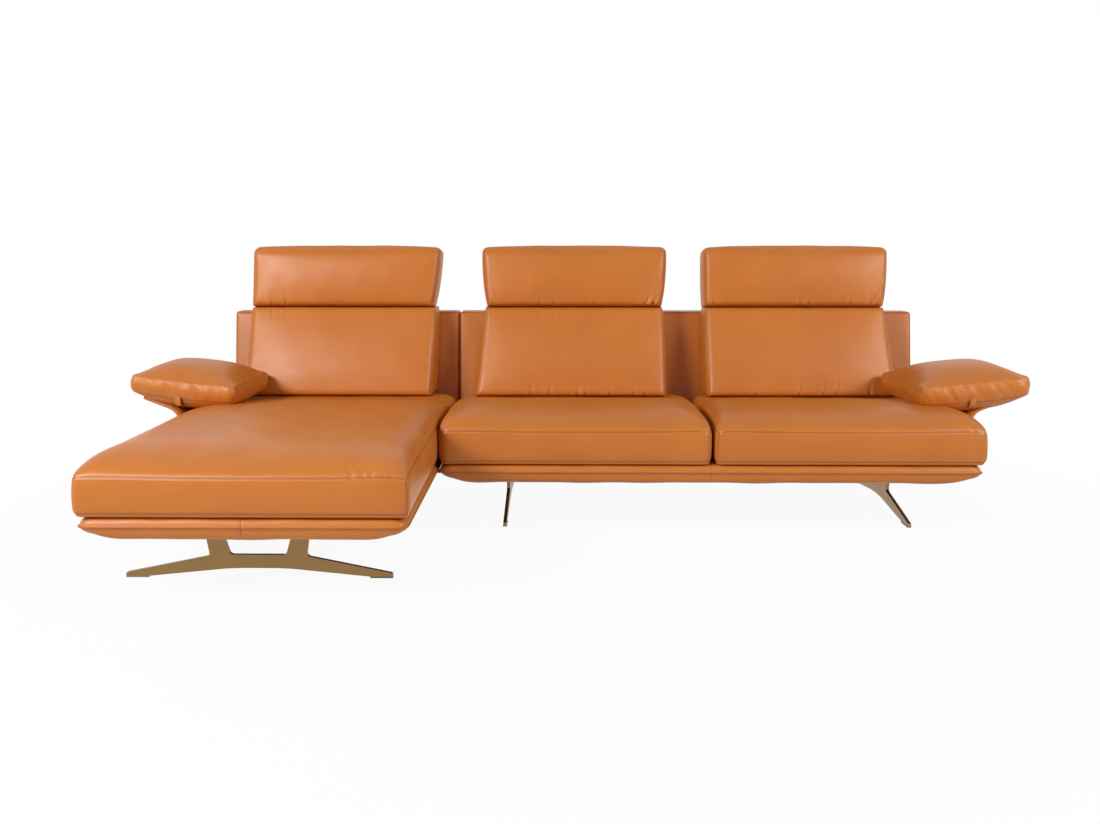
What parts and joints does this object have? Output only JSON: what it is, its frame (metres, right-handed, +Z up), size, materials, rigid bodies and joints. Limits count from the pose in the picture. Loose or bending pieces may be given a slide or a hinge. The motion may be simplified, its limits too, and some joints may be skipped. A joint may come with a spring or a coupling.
{
  "type": "chaise sectional sofa",
  "caption": "L-shaped leather chaise sectional with crowned boxed cushions, flared cushioned arms, tilting headrests on ratchet hinges and flat bronze W-shaped plate legs.",
  "frame": {"origin": "on the floor under the middle of the overall box", "axes": "+X to the viewer's right along the row of seats, -Y the side that the seats face, +Z up"},
  "size_m": [3.1132, 1.56, 0.9728],
  "materials": {
    "leather": "smooth semi-gloss saddle tan leather over foam",
    "bronze": "brushed champagne bronze plate",
    "glide": "grey moulded pads",
    "timber": "raw beech and plywood",
    "webbing": "woven elastic straps",
    "cloth": "black non-woven cloth",
    "steel": "zinc-plated steel"
  },
  "bodies": {
    "frame": {"chaise_arm_brackets": "steel", "chaise_arm_cushion": "leather", "chaise_arm_strap": "leather", "chaise_arm_wing": "leather", "chaise_back_board": "timber", "chaise_back_cushion": "leather", "chaise_back_frame": "timber", "chaise_back_panel": "leather", "chaise_base_border": "leather", "chaise_base_rails": "timber", "chaise_deck_cloth": "cloth", "chaise_dust_cover": "cloth", "chaise_front_leg": "bronze", "chaise_hinge_feet": "steel", "chaise_hinge_pins": "steel", "chaise_leg_glides": "glide", "chaise_rear_leg": "bronze", "chaise_screws": "steel", "chaise_seat_cushion": "leather", "chaise_webbing": "webbing", "connector_forks": "steel", "connector_studs": "steel", "sofa_arm_brackets": "steel", "sofa_arm_cushion": "leather", "sofa_arm_strap": "leather", "sofa_arm_wing": "leather", "sofa_back_frame": "timber", "sofa_back_panel": "leather", "sofa_base_border": "leather", "sofa_base_rails": "timber", "sofa_deck_cloth": "cloth", "sofa_dust_cover": "cloth", "sofa_left_back_board": "timber", "sofa_left_back_cushion": "leather", "sofa_left_hinge_feet": "steel", "sofa_left_hinge_pins": "steel", "sofa_left_leg": "bronze", "sofa_left_seat_cushion": "leather", "sofa_leg_glides": "glide", "sofa_right_back_board": "timber", "sofa_right_back_cushion": "leather", "sofa_right_hinge_feet": "steel", "sofa_right_hinge_pins": "steel", "sofa_right_leg": "bronze", "sofa_right_seat_cushion": "leather", "sofa_screws": "steel", "sofa_webbing": "webbing"},
    "chaise_headrest": {"chaise_headrest": "leather", "chaise_headrest_board": "timber", "chaise_hinge_bars": "steel"},
    "sofa_left_headrest": {"sofa_left_headrest": "leather", "sofa_left_headrest_board": "timber", "sofa_left_hinge_bars": "steel"},
    "sofa_right_headrest": {"sofa_right_headrest": "leather", "sofa_right_headrest_board": "timber", "sofa_right_hinge_bars": "steel"}
  },
  "joints": [
    {"name": "chaise_headrest_tilt", "type": "hinge", "parent": "frame", "child": "chaise_headrest", "pos_m": [-0.903, 0.63965, 0.781], "axis": [1, 0, 0], "range_deg": [-75, 15]},
    {"name": "sofa_left_headrest_tilt", "type": "hinge", "parent": "frame", "child": "sofa_left_headrest", "pos_m": [0.008, 0.63965, 0.781], "axis": [1, 0, 0], "range_deg": [-75, 15]},
    {"name": "sofa_right_headrest_tilt", "type": "hinge", "parent": "frame", "child": "sofa_right_headrest", "pos_m": [0.883, 0.63965, 0.781], "axis": [1, 0, 0], "range_deg": [-75, 15]}
  ]
}
